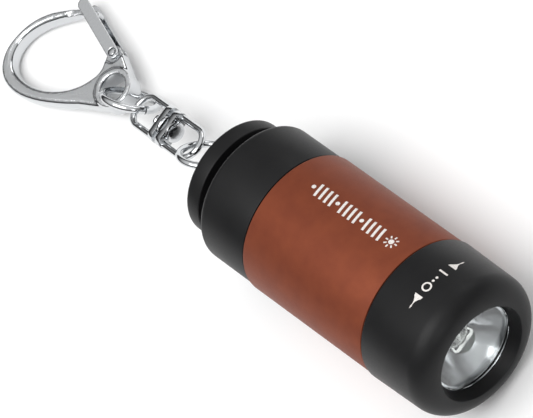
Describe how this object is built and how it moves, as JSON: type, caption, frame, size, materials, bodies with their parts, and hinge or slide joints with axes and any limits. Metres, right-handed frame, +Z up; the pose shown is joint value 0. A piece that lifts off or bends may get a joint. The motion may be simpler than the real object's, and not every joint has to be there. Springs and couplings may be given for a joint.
{
  "type": "keychain flashlight",
  "caption": "Small cylindrical twist-head keychain torch with a plug under its pull-off tail cap, hung on a swivel chain with a sprung clasp.",
  "frame": {"origin": "on the surface the torch lies on, in the middle of the whole length", "axes": "+X along the torch towards its lens, +Z up, +Y to the side on which the clasp's gate lies"},
  "size_m": [0.1206, 0.0254, 0.0254],
  "materials": {
    "black_plastic": "black moulded plastic, satin",
    "brown_aluminium": "brown anodised aluminium, satin",
    "clear_lens": "clear polished plastic window",
    "led_dome": "clear resin dome",
    "reflector_mirror": "vacuum metallised, mirror bright",
    "seal_rubber": "black rubber",
    "circuit_board": "green solder mask",
    "contact_brass": "gold-coloured contact plating",
    "cell_wrap": "shrink-wrapped cell",
    "steel": "bright nickel-plated steel",
    "white_plastic": "white moulded plastic",
    "chrome": "bright chrome plating, lightly pitted on the cast clasp"
  },
  "bodies": {
    "barrel": {"sleeve": "brown_aluminium", "core": "black_plastic", "neck_o_ring": "seal_rubber", "battery": "cell_wrap", "battery_spring": "steel", "charge_board": "circuit_board", "charge_chip": "black_plastic", "rear_bulkhead": "black_plastic", "tail_o_ring": "seal_rubber", "charge_lamp": "led_dome", "usb_shell": "steel", "usb_tongue": "white_plastic", "usb_contact_1": "contact_brass", "usb_contact_2": "contact_brass", "usb_contact_3": "contact_brass", "usb_contact_4": "contact_brass"},
    "lamp_module": {"led": "led_dome", "led_board": "circuit_board", "led_contact": "contact_brass"},
    "head": {"head_shell": "black_plastic", "lens": "clear_lens", "lens_seal": "seal_rubber", "reflector": "reflector_mirror"},
    "cap": {"tail_cap": "black_plastic"},
    "jump_ring_link": {"jump_ring": "chrome"},
    "swivel_front": {"swivel_front_loop": "chrome", "swivel_rivet": "chrome", "swivel_washer": "chrome"},
    "swivel_rear": {"swivel_rear_loop": "chrome"},
    "ring_link": {"link_ring": "chrome"},
    "clasp": {"clasp_body": "chrome", "gate_pin": "chrome"},
    "gate_lever": {"gate": "chrome", "gate_spring": "steel"}
  },
  "joints": [
    {"name": "lamp_travel", "type": "slide", "parent": "barrel", "child": "lamp_module", "axis": [-1, 0, 0], "range_m": [0, 0.0002]},
    {"name": "head_twist", "type": "hinge", "parent": "lamp_module", "child": "head", "pos_m": [0.05302, 0, 0.01269], "axis": [1, 0, 0], "range_deg": [0, 60]},
    {"name": "cap_pull", "type": "slide", "parent": "barrel", "child": "cap", "axis": [-1, 0, 0], "range_m": [0, 0.016]},
    {"name": "jump_ring_swing", "type": "hinge", "parent": "cap", "child": "jump_ring_link", "pos_m": [-0.00219, 0, 0.01269], "axis": [0, 0.6691, -0.7431], "range_deg": [-60, 60]},
    {"name": "swivel_swing", "type": "hinge", "parent": "jump_ring_link", "child": "swivel_front", "pos_m": [-0.01076, 0, 0.01031], "axis": [0, 1, 0], "range_deg": [-18, 18]},
    {"name": "swivel_spin", "type": "hinge", "parent": "swivel_front", "child": "swivel_rear", "pos_m": [-0.01883, 0, 0.00807], "axis": [-0.9635, 0, -0.2676], "continuous": true},
    {"name": "link_ring_swing", "type": "hinge", "parent": "swivel_rear", "child": "ring_link", "pos_m": [-0.02842, 0, 0.00541], "axis": [0, 1, 0], "range_deg": [-60, 60]},
    {"name": "clasp_swing", "type": "hinge", "parent": "ring_link", "child": "clasp", "pos_m": [-0.03499, 0, 0.00358], "axis": [-0.0825, 0, 0.9966], "range_deg": [-70, 70]},
    {"name": "gate_open", "type": "hinge", "parent": "clasp", "child": "gate_lever", "pos_m": [-0.03977, 0.0047, 0.00318], "axis": [-0.0825, 0, 0.9966], "range_deg": [0, 22], "stiffness_Nm_per_rad": 0.02, "springref_deg": -17.19}
  ],
  "couplings": [
    {"joint": "lamp_travel", "follows": "head_twist", "m_per_rad": 0.00019099}
  ]
}
